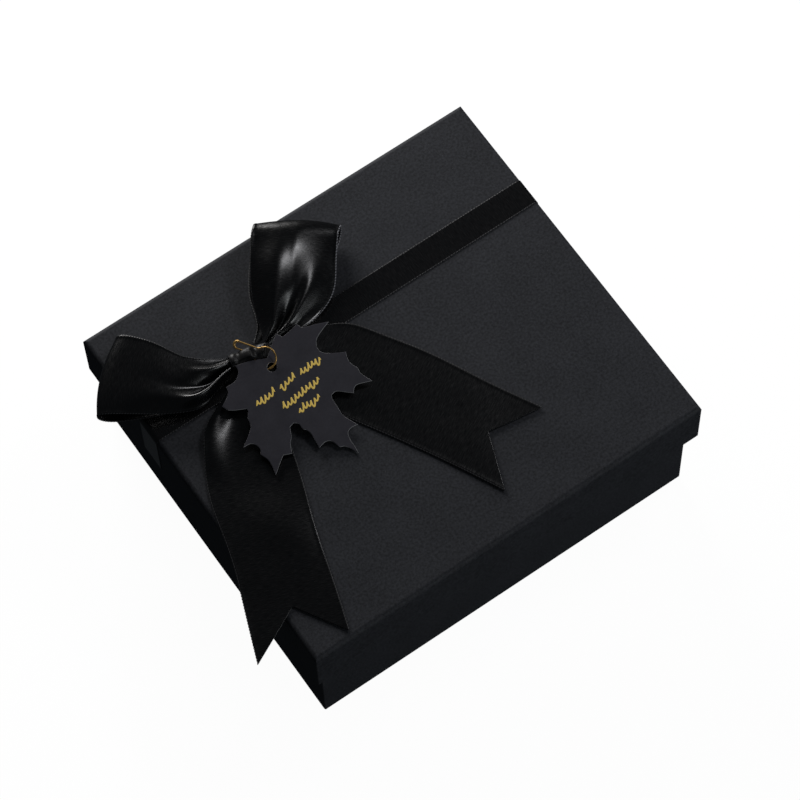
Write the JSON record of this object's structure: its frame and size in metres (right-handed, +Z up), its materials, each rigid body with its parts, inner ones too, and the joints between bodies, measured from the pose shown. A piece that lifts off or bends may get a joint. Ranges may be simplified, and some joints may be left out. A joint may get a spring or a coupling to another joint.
{
  "type": "gift box",
  "caption": "Rectangular rigid gift box with a lift-off lid, a satin band and a bow, and a leaf-shaped card tag on a small pin.",
  "frame": {"origin": "centre of the base's bottom face, on the surface it stands on", "axes": "+Z up, +X along the long front edge to the right, +Y from the front face to the back"},
  "size_m": [0.2206, 0.18, 0.0953],
  "materials": {
    "board": "uncoated greyboard",
    "wrap_paper": "black mottled wrap paper, semi-matt",
    "stay_tape": "kraft stay tape",
    "liner_paper": "black uncoated liner paper",
    "satin": "black polyester satin ribbon",
    "glue": "clear glue dot",
    "gold_wire": "bright gold plate",
    "card": "black card, matt",
    "foil": "gold foil print"
  },
  "bodies": {
    "base": {"base_floor_board": "board", "base_wall_front": "board", "base_wall_back": "board", "base_wall_left": "board", "base_wall_right": "board", "base_corner_tapes": "stay_tape", "base_wrap": "wrap_paper", "base_bottom_sheet": "wrap_paper", "base_floor_liner": "liner_paper", "base_wall_liner": "liner_paper"},
    "lid": {"lid_top_board": "board", "lid_skirt_front": "board", "lid_skirt_back": "board", "lid_skirt_left": "board", "lid_skirt_right": "board", "lid_corner_tapes": "stay_tape", "lid_wrap": "wrap_paper", "lid_liner": "liner_paper", "ribbon_band": "satin", "bow_glue_pad": "glue", "bow_loop_back": "satin", "bow_loop_left": "satin", "bow_knot": "satin", "bow_tail_right": "satin", "bow_tail_front": "satin"},
    "pin": {"tag_pin": "gold_wire", "tag_pin_cap": "gold_wire"},
    "tag": {"leaf_tag": "card", "tag_foil": "foil"}
  },
  "joints": [
    {"name": "lid_lift", "type": "slide", "parent": "base", "child": "lid", "axis": [0, 0, 1], "range_m": [0, 0.08]},
    {"name": "pin_swing", "type": "hinge", "parent": "lid", "child": "pin", "pos_m": [-0.05065, 0.04611, 0.08797], "axis": [0.5468, -0.8372, 0], "range_deg": [0, 20]},
    {"name": "tag_swing", "type": "hinge", "parent": "lid", "child": "tag", "pos_m": [-0.0417, 0.0287, 0.0866], "axis": [0, -0.1478, 0.989], "range_deg": [0, 15]}
  ]
}
